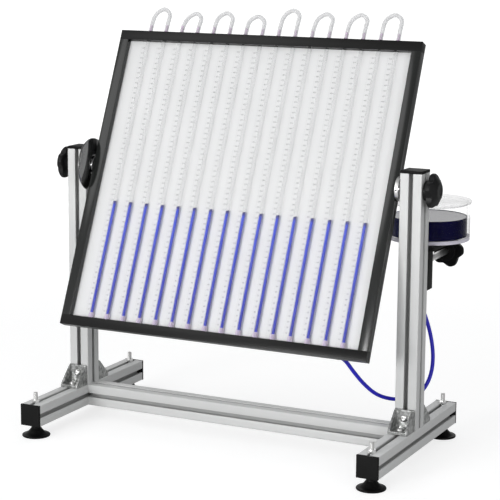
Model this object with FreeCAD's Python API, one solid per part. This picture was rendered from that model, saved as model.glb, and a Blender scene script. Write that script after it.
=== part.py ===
import FreeCAD, Part
import math
import os
from FreeCAD import Vector, Matrix

# Multi tube manometer: a bench stand of slotted aluminium profile carries a tilting panel with
# sixteen clear tubes, and a liquid tank on a carriage that slides up and down the right upright.
# Millimetres. X runs to the right, Y to the rear, Z up from the bench.

os.makedirs("parts", exist_ok=True)

# Fits
face_gap = 0.3            # between faces that slide on each other
thread_gap = 0.05         # radial, a stud in its thread
pivot_gap = 0.08          # radial, a stud that turns in its bore
hole_gap = 0.3            # radial, a bolt in a plain hole
seat_gap = 0.15           # a piece set into a pocket or groove

# Slotted profile, used for the beams, the crossbar and the uprights
profile = 40.0
profile_edge = 1.5        # outer corner radius
slot_mouth = 8.4
slot_lip = 4.5
slot_width = 20.0
slot_side = 3.0           # straight side of the undercut below the lip
slot_depth = 12.3
core_bore = 6.8

# Stand
beam_length = 376.0       # without its end caps
beam_cap = 5.0
foot_height = 23.0        # underside of the beams above the bench
upright_height = 454.0
upright_cap = 5.0
cap_edge = 0.8            # chamfer round a cap's face
plug_length = 8.0         # peg of a cap in the profile's bore

# Levelling feet
foot_inset = 16.0         # stud from the beam's end, without the cap
pad_radius = 26.0
pad_rim = 3.8
pad_slope = 16.0          # height where the hollow cone meets the collar
pad_collar = 9.0
pad_socket = 9.0          # floor of the stud's socket above the bench
stud_radius = 4.0         # every stud and bolt of the stand is of this size
stud_above = 20.0         # stud end above the beam's top
nut_flats = 13.0
nut_height = 6.5

# Corner brackets
bracket_leg = 38.0
bracket_width = 36.0
bracket_wall = 6.0
bracket_web = 4.0
bracket_hole = 23.0       # bolt from the inside corner
bracket_round = 1.0       # rounding of its outer edges
bracket_step = 2.0        # webs end this far short of the legs
head_radius = 7.0
head_height = 4.4
socket_flats = 5.0
socket_depth = 2.8
slot_nut_width = 19.0
slot_nut_length = 14.0
slot_nut_thick = 6.0
end_bolt_grip = 26.0      # thread of the crossbar's bolts in its ends
end_bolt_tap = 30.0

# Tilting panel, drawn upright about its pivot and then leant back
pivot_drop = 30.0         # pivot below the uprights' tops
lean = 24.0               # degrees from the vertical
panel_width = 610.0
pivot_room = 10.0         # between the panel and each upright
panel_above = 266.5       # top edge above the pivot
panel_below = 308.5
member = 18.0             # square section of the frame
sheet_front = 2.0         # white sheet's face behind the frame's middle plane
sheet_thick = 4.0
sheet_groove = 4.0

# Tubes
tube_count = 16
tube_margin_left = 41.0   # from the frame's inside to the axis of the outermost tube
tube_margin_right = 30.5
tube_radius = 4.0
tube_bore = 2.8
tube_plane = -3.0         # tube axes in front of the frame's middle plane
tube_pocket = 8.0         # depth of a tube's seat in the lower member
tube_recess = 2.0         # tube end below the top face of the upper member
bush_radius = 4.9
bush_above = 10.0         # bush above the lower member
bush_below = 5.0
gallery_radius = 2.5      # channel that joins all the tubes
gallery_edge = 4.0        # channel's wall to the header's lower face
gallery_plug = 8.0
feed_radius = 1.8         # from the channel up to each tube
corner_screw_radius = 2.0
corner_screw_head = 4.0
corner_screw_length = 32.0
corner_screw_plane = 3.2  # behind the frame's middle plane, clear of the gallery
liquid_gap = 0.1

# Nozzles and the hose loops that join neighbouring tubes
nozzle_radius = 2.5
nozzle_bore = 1.5
nozzle_above = 14.0
nozzle_below = 9.0
nozzle_flange = 1.5
loop_radius = 4.0
loop_bore = 2.6
loop_rise = (49.0, 42.5, 45.5, 41.0, 55.0, 50.0, 50.5, 52.5)
loop_sway = (4.0, 7.0, 3.5, 2.0, 4.5, 5.0, 5.5, 3.0)
loop_shoulder = 8.0       # the loop's shoulders below its crown
loop_leg = 24.0           # end of its straight legs below the crown
loop_crown = 8.0          # width of its crown

# Pivot pieces
disc_radius = 50.0
disc_rim = 2.4
disc_crown = 7.0
disc_hub = 15.0
hub_groove = 4.0
collar_radius = 22.0      # clamping collar on the right, with its friction washer
collar_edge = 0.8
grub_radius = 1.8
friction_washer = 2.7
disc_recess = 1.5
disc_seat = 22.0          # radius of the boss that faces the upright
stud_in_member = 13.0

# Star knobs
knob_radius = 31.0
knob_neck = 18.0
knob_waist = 15.0
knob_neck_height = 9.0
knob_side = 9.0           # height of the lobes' straight side
knob_height = 26.0
knob_face = 17.0
knob_lobes = 5
scallop_radius = 15.0
scallop_centre = 39.0
knob_socket = 16.0        # depth of the stud in the knob
tank_knob_turn = 69       # degrees, how far the tank's knob happens to be turned

# Tank and its carriage on the right upright
tank_inboard = 9.0        # tank's axis from the upright's, towards the middle
tank_y = 98.0
tank_base = 385.7
tank_radius = 73.0
tank_wall = 5.0
tank_floor = 7.0
liquid_depth = 34.3       # in the tank; the tubes stand at the same level
tank_height = 65.8
lid_radius = 75.0
lid_thick = 4.3
lid_step = 3.0
shelf_width = 60.0
shelf_length = 122.0
shelf_thick = 8.0
carriage_depth = 26.0
carriage_height = 70.0
tongue_depth = 3.8
carriage_nut_length = 40.0
clamp_drop = 34.0         # clamp screw below the tank
clamp_reach = 114.0       # sleeve from the carriage to the knob
sleeve_radius = 6.0
washer_radius = 9.0
washer_thick = 2.0
shelf_round = 8.0
shelf_screw_radius = 2.5
shelf_screw_length = 26.0
shelf_screw_side = 11.0   # from the upright's middle plane
tank_screw_length = 12.0
tank_screw_side = 22.0    # before and behind the tank's axis
outlet_inboard = 36.0     # tank outlet from the tank's axis
outlet_radius = 3.0

# Liquid hose
hose_radius = 3.5
ferrule_radius = 4.6
ferrule_length = 12.7
ferrule_taper = 0.8
outlet_nut_flats = 12.6
outlet_nut_height = 5.0
port_flange = 6.6
port_inset = 59.5         # hose port from the panel's right edge
port_reach = 3.0          # shoulder of the panel's port behind the frame
hose_share = 0.45

half = profile / 2
panel_side = panel_width / 2
half_spacing = panel_side + pivot_room + half
beam_top = foot_height + profile
beam_middle = foot_height + half
inner_face = half_spacing - half
outer_face = half_spacing + half
upright_top = beam_top + upright_height
pivot_height = upright_top - pivot_drop
liquid_level = tank_base + tank_floor + liquid_depth
tube_room = panel_width - 2 * member - tube_margin_left - tube_margin_right
tube_pitch = tube_room / (tube_count - 1)
tube_first = member + tube_margin_left - panel_side
tank_x = half_spacing - tank_inboard
port_x = panel_side - port_inset
foot_y = beam_length / 2 - foot_inset
knob_reach = outer_face + face_gap + knob_height
lid_right = tank_x + lid_radius
centre_x = (lid_right - knob_reach) / 2
up = Vector(0, 0, 1)


def save(name, *solids):
    """Writes one sub-part, with the middle of the whole object's footprint at X 0."""
    shape = solids[0] if len(solids) == 1 else Part.makeCompound(list(solids))
    shape = shape.copy()
    shape.translate(Vector(-centre_x, 0, 0))
    shape.exportStep("parts/" + name + ".step")


def box(x, y, z):
    """Box from three (low, high) pairs."""
    corner = Vector(x[0], y[0], z[0])
    return Part.makeBox(x[1] - x[0], y[1] - y[0], z[1] - z[0], corner)


def rod(radius, start, end):
    start, end = Vector(*start), Vector(*end)
    return Part.makeCylinder(radius, start.distanceToPoint(end), start, end - start)


def turned(outline, at=(0, 0, 0), along=(0, 0, 1)):
    """Solid of revolution from (radius, height) points, then set at a place and direction."""
    points = [Vector(r, 0, h) for r, h in outline]
    face = Part.Face(Part.makePolygon(points + points[:1]))
    solid = face.revolve(Vector(), up, 360)
    turn = FreeCAD.Rotation(up, Vector(*along))
    solid.Placement = FreeCAD.Placement(Vector(*at), turn)
    return solid


def hexagon(flats, height, at, along=(0, 0, 1)):
    radius = flats / math.sqrt(3)
    corners = [math.radians(60 * i) for i in range(6)]
    points = [Vector(radius * math.cos(a), radius * math.sin(a), 0) for a in corners]
    solid = Part.Face(Part.makePolygon(points + points[:1])).extrude(up * height)
    solid.Placement = FreeCAD.Placement(Vector(*at), FreeCAD.Rotation(up, Vector(*along)))
    return solid


def slotted_profile(length, turn):
    """A length of profile about its own axis from Z 0, turned to its place."""
    solid = box((-half, half), (-half, half), (0, length))
    edges = [e for e in solid.Edges if abs(e.tangentAt(e.FirstParameter).z) > 0.5]
    solid = solid.makeFillet(profile_edge, edges)
    mouth, wide = slot_mouth / 2, slot_width / 2
    lip, floor = half - slot_lip, half - slot_depth
    side = lip - slot_side
    foot = wide - (side - floor)
    right = [(mouth, half + 1), (mouth, lip), (wide, lip), (wide, side), (foot, floor)]
    outline = right + [(-x, y) for x, y in reversed(right)]
    points = [Vector(x, y, 0) for x, y in outline]
    slot = Part.Face(Part.makePolygon(points + points[:1])).extrude(up * length)
    slots = []
    for quarter in range(4):
        copy = slot.copy()
        copy.rotate(Vector(), up, 90 * quarter)
        slots.append(copy)
    solid = solid.cut(slots + [rod(core_bore / 2, (0, 0, 0), (0, 0, length))])
    solid.Placement = turn
    return solid


def capped_end(thick, edge, peg):
    """Square end cap with a peg for the profile's bore, face outwards along +Z from Z 0."""
    plate = box((-half, half), (-half, half), (0, thick))
    plate = plate.makeChamfer(edge, [e for e in plate.Edges if e.BoundBox.ZMin > thick / 2])
    return plate.fuse(rod(core_bore / 2 - seat_gap, (0, 0, -peg), (0, 0, 0)))


def placed(shape, at, along):
    copy = shape.copy()
    copy.Placement = FreeCAD.Placement(Vector(*at), FreeCAD.Rotation(up, Vector(*along)))
    return copy


def leant(shape):
    """Panel pieces are drawn upright with the pivot at the origin, then leant back."""
    copy = shape.copy()
    copy.rotate(Vector(), Vector(1, 0, 0), -lean)
    copy.translate(Vector(0, 0, pivot_height))
    return copy


def headed_bolt(length):
    """Button head bolt along -Z, seat of the head at Z 0."""
    rim = head_radius
    head = turned([(0, 0), (rim, 0), (rim, 1.0), (rim - 1.8, head_height - 0.9),
                   (rim - 3.6, head_height), (0, head_height)])
    socket = hexagon(socket_flats, socket_depth + 1, (0, 0, head_height - socket_depth))
    return head.cut(socket).fuse(rod(stud_radius, (0, 0, -length), (0, 0, 0)))


def slot_nut(length):
    """Nut that lies under the lips of a slot; its top at Z 0, the slot along Y."""
    wide, thick = slot_nut_width / 2, slot_nut_thick
    nut = box((-wide, wide), (-length / 2, length / 2), (-thick, 0))
    lower = [e for e in nut.Edges if e.BoundBox.ZMax < -thick / 2 and e.BoundBox.XLength < wide]
    nut = nut.makeChamfer(thick / 2, lower)
    return nut.cut(rod(stud_radius + thread_gap, (0, 0, -thick), (0, 0, 0)))


def star_knob(at, along, spin):
    """Five-lobed grip, its neck at the seat and its face along the given direction."""
    top = knob_neck_height + knob_side
    body = turned([(0, 0), (knob_neck, 0), (knob_waist, knob_neck_height),
                   (knob_radius - 2, knob_neck_height), (knob_radius, knob_neck_height + 2),
                   (knob_radius, top - 2), (knob_radius - 2.5, top),
                   (knob_face, knob_height - 1.5), (knob_face - 3, knob_height), (0, knob_height)])
    scallops = []
    for lobe in range(knob_lobes):
        angle = math.radians(360 / knob_lobes * (lobe + 0.5))
        x, y = scallop_centre * math.cos(angle), scallop_centre * math.sin(angle)
        scallops.append(rod(scallop_radius, (x, y, knob_neck_height - 1), (x, y, knob_height + 1)))
    body = body.cut(scallops)
    body = body.cut(rod(stud_radius + thread_gap, (0, 0, -1), (0, 0, knob_socket)))
    body.rotate(Vector(), up, spin)
    return placed(body, at, along)


def swept_tube(points, radius, report=False):
    """Round tube along straight runs joined by tangent arcs."""
    corners = [Vector(*p) for p in points]
    edges, start, radii = [], corners[0], []
    for before, here, after in zip(corners, corners[1:], corners[2:]):
        into, out = here - before, after - here
        turn = into.getAngle(out)
        back = hose_share * min(into.Length, out.Length)
        radii.append(back / math.tan(turn / 2))
        into.normalize()
        out.normalize()
        first, last = here - into * back, here + out * back
        bisector = (out - into).normalize()
        sag = radii[-1] * (1 / math.cos(turn / 2) - 1)
        edges.append(Part.LineSegment(start, first).toShape())
        edges.append(Part.Arc(first, here + bisector * sag, last).toShape())
        start = last
    edges.append(Part.LineSegment(start, corners[-1]).toShape())
    path = Part.Wire(edges)
    ring = Part.Wire(Part.makeCircle(radius, corners[0], corners[1] - corners[0]))
    tube = path.makePipeShell([ring], True, False)
    if report:
        share = tube.Volume / (math.pi * radius ** 2 * path.Length)
        print("hose length", round(path.Length, 1), "volume share", round(share, 4))
        print("hose radii", [round(r, 1) for r in radii])
    return tube


def make_stand():
    upright_turn = [FreeCAD.Placement(Vector(x, 0, beam_top), FreeCAD.Rotation())
                    for x in (-half_spacing, half_spacing)]
    along_y = FreeCAD.Rotation(Vector(1, 0, 0), -90)
    along_x = FreeCAD.Rotation(Vector(0, 1, 0), 90)
    bore = stud_radius + hole_gap

    for name, x in (("beam_left", -half_spacing), ("beam_right", half_spacing)):
        start = Vector(x, -beam_length / 2, beam_middle)
        beam = slotted_profile(beam_length, FreeCAD.Placement(start, along_y))
        holes = [rod(bore, (x, y, 0), (x, y, beam_top + 1)) for y in (-foot_y, foot_y)]
        save(name, beam.cut(holes))

    start = Vector(-inner_face, 0, beam_middle)
    crossbar = slotted_profile(2 * inner_face, FreeCAD.Placement(start, along_x))
    thread = stud_radius + thread_gap
    ends = [rod(thread, (s * inner_face, 0, beam_middle),
                (s * (inner_face - end_bolt_tap), 0, beam_middle)) for s in (-1, 1)]
    save("crossbar", crossbar.cut(ends))

    for name, turn in zip(("upright_left", "upright_right"), upright_turn):
        upright = slotted_profile(upright_height, turn)
        x = turn.Base.x
        pivot = rod(stud_radius + pivot_gap, (x - half, 0, pivot_height), (x + half, 0, pivot_height))
        save(name, upright.cut(pivot))

    cap = capped_end(beam_cap, cap_edge, plug_length)
    end = beam_length / 2
    save("beam_end_caps", *[placed(cap, (x, s * end, beam_middle), (0, s, 0))
                            for x in (-half_spacing, half_spacing) for s in (-1, 1)])
    cap = capped_end(upright_cap, cap_edge, plug_length)
    save("upright_caps", *[placed(cap, (x, 0, upright_top), (0, 0, 1))
                           for x in (-half_spacing, half_spacing)])
    make_crossbar_bolts()


def make_crossbar_bolts():
    """Bolts from the beams' inner slots into the crossbar's ends."""
    seat = inner_face + slot_lip
    bolt = headed_bolt(slot_lip + end_bolt_grip)
    save("crossbar_bolts", *[placed(bolt, (s * seat, 0, beam_middle), (s, 0, 0)) for s in (-1, 1)])


def corner_bracket():
    """Cast angle with two webs: legs on +Y and +Z from the inside corner at the origin."""
    wide, leg, wall = bracket_width / 2, bracket_leg, bracket_wall
    flat = box((-wide, wide), (0, leg), (0, wall))
    tall = box((-wide, wide), (0, wall), (0, leg))
    end, step = leg - bracket_step, wall + bracket_step
    slope = [(wall, wall), (end, wall), (end, step), (step, end), (wall, end)]
    webs = []
    for side in (-wide, wide - bracket_web):
        points = [Vector(side, y, z) for y, z in slope]
        web = Part.Face(Part.makePolygon(points + points[:1]))
        webs.append(web.extrude(Vector(bracket_web, 0, 0)))
    body = flat.fuse([tall] + webs).removeSplitter()
    ends = [e for e in body.Edges if e.BoundBox.XLength > bracket_width - 1
            and (e.BoundBox.YMin > leg - 1 or e.BoundBox.ZMin > leg - 1)]
    body = body.makeFillet(bracket_round, ends)
    hole = stud_radius + hole_gap
    holes = [rod(hole, (0, bracket_hole, 0), (0, bracket_hole, wall)),
             rod(hole, (0, 0, bracket_hole), (0, wall, bracket_hole))]
    return body.cut(holes)


def make_brackets():
    """One bracket before and one behind each upright, bolted to slot nuts."""
    brackets, bolts, nuts = [], [], []
    bracket = corner_bracket()
    bolt = headed_bolt(bracket_wall + slot_lip + slot_nut_thick)
    nut = slot_nut(slot_nut_length)
    for x in (-half_spacing, half_spacing):
        for side in (-1, 1):
            copy = bracket.copy()
            if side < 0:
                copy.rotate(Vector(), up, 180)
            copy.translate(Vector(x, side * half, beam_top))
            brackets.append(copy)
            y = side * (half + bracket_hole)
            bolts.append(placed(bolt, (x, y, beam_top + bracket_wall), (0, 0, 1)))
            nuts.append(placed(nut, (x, y, beam_top - slot_lip - seat_gap), (0, 0, 1)))
            z = beam_top + bracket_hole
            bolts.append(placed(bolt, (x, side * (half + bracket_wall), z), (0, side, 0)))
            nuts.append(placed(nut, (x, side * (half - slot_lip - seat_gap), z), (0, side, 0)))
    save("corner_brackets", *brackets)
    save("bracket_bolts", *bolts)
    save("bracket_slot_nuts", *nuts)


def make_feet():
    """Four levelling feet: a moulded pad on a threaded stud, with a nut on the beam."""
    top = foot_height - seat_gap
    wide, rise = pad_radius - 1, pad_slope - pad_rim
    cone = [(wide - (wide - pad_collar) * t, pad_rim + rise * t * t) for t in (0, 0.25, 0.5, 0.75, 1)]
    outline = [(0, 0), (wide, 0), (pad_radius, 1), (pad_radius, pad_rim - 1)] + cone
    outline += [(pad_collar, top), (0, top)]
    nuts = []
    for x, left_right in ((-half_spacing, "left"), (half_spacing, "right")):
        for y, front_rear in ((-foot_y, "front"), (foot_y, "rear")):
            place = front_rear + "_" + left_right
            pad = turned(outline, (x, y, 0))
            socket = rod(stud_radius + thread_gap, (x, y, pad_socket), (x, y, foot_height))
            save("foot_pad_" + place, pad.cut(socket))
            stud = rod(stud_radius, (x, y, pad_socket), (x, y, beam_top + stud_above))
            tip = [e for e in stud.Edges if e.BoundBox.ZMin > beam_top]
            save("foot_stud_" + place, stud.makeChamfer(1.0, tip))
            nut = hexagon(nut_flats, nut_height, (x, y, beam_top))
            hole = rod(stud_radius + thread_gap, (x, y, beam_top - 1), (x, y, beam_top + nut_height + 1))
            nuts.append(nut.cut(hole))
    save("foot_lock_nuts", *nuts)


def tube_places():
    return [tube_first + tube_pitch * i for i in range(tube_count)]


def make_panel_frame():
    side, deep = panel_side, member / 2
    top, bottom = panel_above, -panel_below
    inner_top, inner_bottom = top - member, bottom + member
    groove_low, groove_high = sheet_front, sheet_front + sheet_thick
    sheet = box((-side + member - sheet_groove, side - member + sheet_groove),
                (groove_low, groove_high),
                (inner_bottom - sheet_groove, inner_top + sheet_groove))
    groove = box((-side + member - sheet_groove - seat_gap, side - member + sheet_groove + seat_gap),
                 (groove_low - seat_gap, groove_high + seat_gap),
                 (inner_bottom - sheet_groove - seat_gap, inner_top + sheet_groove + seat_gap))
    save("back_sheet", leant(sheet))

    upper = box((-side, side), (-deep, deep), (inner_top, top)).cut(groove)
    holes = [rod(tube_radius + seat_gap, (x, tube_plane, inner_top - 1), (x, tube_plane, top + 1))
             for x in tube_places()]
    upper = upper.cut(holes)

    lower = box((-side, side), (-deep, deep), (bottom, inner_bottom)).cut(groove)
    middle = bottom + gallery_radius + gallery_edge
    pockets = [rod(tube_radius + seat_gap, (x, tube_plane, inner_bottom - tube_pocket),
                   (x, tube_plane, inner_bottom + 1)) for x in tube_places()]
    pockets += [rod(bush_radius + seat_gap, (x, tube_plane, inner_bottom - bush_below),
                    (x, tube_plane, inner_bottom + 1)) for x in tube_places()]
    feeds = [rod(feed_radius, (x, tube_plane, middle), (x, tube_plane, inner_bottom - 1))
             for x in tube_places()]
    gallery = rod(gallery_radius, (-side - 1, tube_plane, middle), (side + 1, tube_plane, middle))
    port = rod(gallery_radius, (port_x, tube_plane, middle), (port_x, deep + 1, middle))
    lower = lower.cut(pockets).cut(feeds + [gallery, port])

    sides = []
    for s in (-1, 1):
        low, high = sorted((s * side, s * (side - member)))
        post = box((low, high), (-deep, deep), (inner_bottom, inner_top)).cut(groove)
        seat = rod(stud_radius + thread_gap, (s * (side + 1), 0, 0), (s * (side - stud_in_member), 0, 0))
        sides.append(post.cut(seat))

    screws = frame_screws(top, bottom)
    holes = [screw_hole(s) for s in screws]
    save("panel_top_rail", leant(upper.cut(holes)))
    save("panel_lower_header", leant(lower.cut(holes)))
    save("panel_side_left", leant(sides[0].cut(holes)))
    save("panel_side_right", leant(sides[1].cut(holes)))
    save("panel_corner_screws", *[leant(frame_screw(*s)) for s in screws])

    plugs = [rod(gallery_radius - thread_gap, (s * side, tube_plane, middle),
                 (s * (side - gallery_plug), tube_plane, middle)) for s in (-1, 1)]
    save("header_plugs", *[leant(p) for p in plugs])
    return middle


def frame_screws(top, bottom):
    """Countersunk screws from above and below into the side members."""
    x = panel_side - member / 2
    return [(s * x, z, d) for s in (-1, 1) for z, d in ((top, -1), (bottom, 1))]


def frame_screw(x, z, direction, grow=0.0):
    thin, wide = corner_screw_radius + grow, corner_screw_head + grow
    cone = corner_screw_head - corner_screw_radius
    outline = [(0, 0), (wide, 0), (thin, cone + grow), (thin, corner_screw_length + grow),
               (0, corner_screw_length + grow)]
    return turned(outline, (x, corner_screw_plane, z), (0, 0, direction))


def screw_hole(screw):
    x, z, direction = screw
    return frame_screw(x, z, direction, thread_gap)


def make_tubes():
    """Sixteen tubes with their bushes, nozzles and liquid."""
    inner_bottom = -panel_below + member
    foot = inner_bottom - tube_pocket
    head = panel_above - tube_recess
    seat = face_gap / 3
    tubes, bushes, nozzles, columns = [], [], [], []
    for x in tube_places():
        tube = rod(tube_radius, (x, tube_plane, foot + seat), (x, tube_plane, head))
        bore = rod(tube_bore, (x, tube_plane, foot), (x, tube_plane, head))
        tubes.append(leant(tube.cut(bore)))

        bush = turned([(tube_radius + thread_gap, -bush_below + seat), (bush_radius, -bush_below + seat),
                       (bush_radius, bush_above - 1.5), (bush_radius - 1.0, bush_above),
                       (tube_radius + thread_gap, bush_above)], (x, tube_plane, inner_bottom))
        bushes.append(leant(bush))

        low, high = head - nozzle_below, panel_above + nozzle_above
        nozzle = turned([(nozzle_bore, low), (nozzle_radius, low), (nozzle_radius, head),
                         (tube_radius, head), (tube_radius, head + nozzle_flange),
                         (nozzle_radius, head + nozzle_flange), (nozzle_radius, high - 2),
                         (nozzle_radius - 0.4, high), (nozzle_bore, high)], (x, tube_plane, 0))
        nozzles.append(leant(nozzle))

        column = leant(rod(tube_bore - liquid_gap, (x, tube_plane, foot + seat), (x, tube_plane, head)))
        above = box((x - tube_radius, x + tube_radius), (-panel_above, panel_above),
                    (liquid_level, liquid_level + 2 * panel_above))
        columns.append(column.cut(above))
    save("measuring_tubes", *tubes)
    save("tube_bushes", *bushes)
    save("tube_nozzles", *nozzles)
    save("liquid_columns", *columns)


def loop_route(index):
    """Points of one hose loop from one nozzle up, over and down to the next."""
    left = tube_first + tube_pitch * 2 * index
    right = left + tube_pitch
    base = panel_above + nozzle_flange
    crown = panel_above + loop_rise[index] - loop_radius
    sway = loop_sway[index]
    middle = (left + right) / 2 + sway
    y, reach = tube_plane, loop_crown / 2
    return [(left, y, base), (left, y, crown - loop_leg),
            (left + sway, y, crown - loop_shoulder),
            (middle - reach, y, crown + 1), (middle + reach, y, crown + 1),
            (right + sway / 2, y, crown - loop_shoulder),
            (right, y, crown - loop_leg), (right, y, base)]


def make_loops():
    loops = []
    for index in range(tube_count // 2):
        route = loop_route(index)
        outer = swept_tube(route, loop_radius)
        inner = swept_tube(route, loop_bore)
        loops.append(leant(outer.cut(inner)))
    save("hose_loops", *loops)


def make_pivots():
    """Friction disc on the left, collar and washer on the right, all fixed to the panel."""
    room = inner_face - panel_side
    near, far = face_gap, room - seat_gap
    bore = stud_radius + pivot_gap
    disc = turned([(bore, near), (disc_seat, near), (disc_seat + 2, near + disc_recess),
                   (disc_radius - 5, near + disc_recess), (disc_radius - 3.5, near),
                   (disc_radius - 0.6, near), (disc_radius, near + 0.6), (disc_radius, disc_rim - 0.4),
                   (disc_radius - 1.2, disc_rim + 0.5), (2 * disc_hub + 1, disc_crown - 1.0),
                   (disc_hub + 4.5, disc_crown), (disc_hub + 2.5, hub_groove),
                   (disc_hub, hub_groove), (disc_hub - 1.0, far - 1.0), (disc_hub - 2.2, far),
                   (bore, far)], (-inner_face, 0, pivot_height), (1, 0, 0))
    save("pivot_disc_left", disc)
    wide, low = collar_radius, near + friction_washer
    at = (inner_face, 0, pivot_height)
    washer = turned([(bore, near), (wide, near), (wide, low - seat_gap), (bore, low - seat_gap)],
                    at, (-1, 0, 0))
    save("pivot_washer_right", washer)
    collar = turned([(bore, low), (wide - collar_edge, low), (wide, low + collar_edge),
                     (wide, far - collar_edge), (wide - collar_edge, far), (bore, far)], at, (-1, 0, 0))
    grub_x = inner_face - (low + far) / 2
    grub = rod(grub_radius, (grub_x, -wide, pivot_height), (grub_x, 0, pivot_height))
    save("pivot_hub_right", collar.cut(grub))


def make_panel_knobs():
    for s, name in ((-1, "left"), (1, "right")):
        seat = s * (outer_face + face_gap)
        lobe_up = 180 if s > 0 else 0
        save("panel_knob_" + name, star_knob((seat, 0, pivot_height), (s, 0, 0), lobe_up))
        inner = s * (panel_side - stud_in_member + face_gap)
        outer = seat + s * (knob_socket - seat_gap)
        save("panel_stud_" + name, rod(stud_radius, (inner, 0, pivot_height), (outer, 0, pivot_height)))


def sunk_screw(at, along, length, grow=0.0):
    """Flat head screw, or with some growth the hole that it sits in."""
    shank, head = shelf_screw_radius + grow, 2 * shelf_screw_radius + grow
    outline = [(0, 0), (head, 0), (shank, head - shank), (shank, length + grow), (0, length + grow)]
    return turned(outline, at, along)


def make_carriage():
    """Carriage, shelf and clamp on the rear slot of the right upright."""
    front = half + face_gap
    back = front + carriage_depth
    shelf_low = tank_base - shelf_thick
    low = shelf_low - carriage_height
    screw_z = tank_base - clamp_drop
    x = half_spacing
    hole = stud_radius + pivot_gap

    block = box((x - half, x + half), (front, back), (low, shelf_low))
    edges = [e for e in block.Edges if e.BoundBox.ZLength > 1 and e.BoundBox.YMin > back - 1]
    block = block.makeChamfer(2.0, edges)
    mouth = slot_mouth / 2 - face_gap
    tongue = box((x - mouth, x + mouth), (half - tongue_depth, front + 1), (low, shelf_low))
    bore = rod(hole, (x, 0, screw_z), (x, back + 1, screw_z))

    middle = (front + back) / 2
    places = [(x - shelf_screw_side, middle), (x + shelf_screw_side, middle)]
    shelf = box((x - shelf_width / 2, x + shelf_width / 2), (front, front + shelf_length),
                (shelf_low, tank_base))
    edges = [e for e in shelf.Edges if e.BoundBox.ZLength > 1 and e.BoundBox.YMin > back]
    shelf = shelf.makeFillet(shelf_round, edges)

    down = [((px, py, tank_base), (0, 0, -1), shelf_screw_length) for px, py in places]
    above = [((x, tank_y + side, shelf_low), (0, 0, 1), tank_screw_length)
             for side in (-tank_screw_side, tank_screw_side)]
    sinks = [sunk_screw(*screw, thread_gap) for screw in down]
    tank_holes = [sunk_screw(*screw, thread_gap) for screw in above]
    save("tank_carriage", block.fuse(tongue).removeSplitter().cut([bore] + sinks))
    save("tank_shelf", shelf.cut(sinks + tank_holes))
    save("shelf_screws", *[sunk_screw(*screw) for screw in down])
    save("tank_screws", *[sunk_screw(*screw) for screw in above])

    nut = slot_nut(carriage_nut_length)
    turn = FreeCAD.Rotation(Vector(1, 0, 0), -90)
    nut.Placement = FreeCAD.Placement(Vector(x, half - slot_lip - face_gap, screw_z), turn)
    save("carriage_slot_nut", nut)

    knob_seat = back + washer_thick + clamp_reach
    washer = rod(washer_radius, (x, back + seat_gap, screw_z), (x, back + washer_thick, screw_z))
    save("clamp_washer", washer.cut(rod(hole, (x, back, screw_z), (x, back + 5, screw_z))))
    sleeve = rod(sleeve_radius, (x, back + washer_thick + seat_gap, screw_z),
                 (x, knob_seat - seat_gap, screw_z))
    save("clamp_sleeve", sleeve.cut(rod(hole, (x, back, screw_z), (x, knob_seat, screw_z))))
    tip = half - slot_lip - face_gap - slot_nut_thick + seat_gap
    save("clamp_stud", rod(stud_radius, (x, tip, screw_z), (x, knob_seat + knob_socket - seat_gap, screw_z)))
    save("tank_knob", star_knob((x, knob_seat, screw_z), (0, 1, 0), tank_knob_turn))
    return tank_holes


def make_tank(screw_holes):
    """Clear tank with a loose lid, its liquid and its outlet."""
    floor, rim = tank_base + tank_floor, tank_base + tank_height
    inner = tank_radius - tank_wall
    at = (tank_x, tank_y, 0)
    outlet_x = tank_x - outlet_inboard
    body = turned([(0, tank_base), (tank_radius - 0.8, tank_base), (tank_radius, tank_base + 0.8),
                   (tank_radius, rim), (inner, rim), (inner, floor), (0, floor)], at)
    spout = rod(outlet_radius, (outlet_x, tank_y, tank_base), (outlet_x, tank_y, floor))
    save("tank_body", body.cut(screw_holes + [spout]))
    lid_low = rim + seat_gap
    save("tank_lid", turned([(0, rim - lid_step), (inner - 0.5, rim - lid_step), (inner - 0.5, lid_low),
                             (lid_radius, lid_low), (lid_radius, lid_low + lid_thick - 0.8),
                             (lid_radius - 0.8, lid_low + lid_thick), (0, lid_low + lid_thick)], at))
    save("tank_liquid", turned([(0, floor + liquid_gap), (inner - liquid_gap, floor + liquid_gap),
                                (inner - liquid_gap, liquid_level), (0, liquid_level)], at))

    nut_low = tank_base - outlet_nut_height
    end = nut_low - ferrule_length
    fit = outlet_radius - thread_gap
    outlet = turned([(0, floor), (fit, floor), (fit, tank_base), (hose_radius, tank_base),
                     (hose_radius, nut_low), (ferrule_radius, nut_low),
                     (ferrule_radius - ferrule_taper, end), (0, end)], (outlet_x, tank_y, 0))
    outlet = outlet.fuse(hexagon(outlet_nut_flats, outlet_nut_height, (outlet_x, tank_y, nut_low)))
    save("tank_outlet", outlet.removeSplitter())
    return (outlet_x, tank_y, end)


def make_panel_port(middle):
    """Ferrule behind the lower header, pointing straight out of the panel's rear."""
    deep = member / 2
    reach = deep + port_reach + ferrule_length
    start, fit = tube_plane + gallery_radius, gallery_radius - thread_gap
    port = turned([(0, start), (fit, start), (fit, deep), (port_flange, deep),
                   (port_flange, deep + port_reach), (ferrule_radius, deep + port_reach),
                   (ferrule_radius - ferrule_taper, reach), (0, reach)], (port_x, 0, middle), (0, 1, 0))
    save("panel_port", leant(port))
    tilt = math.radians(lean)
    y = reach * math.cos(tilt) + middle * math.sin(tilt)
    z = pivot_height - reach * math.sin(tilt) + middle * math.cos(tilt)
    return (port_x, y, z)


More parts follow.
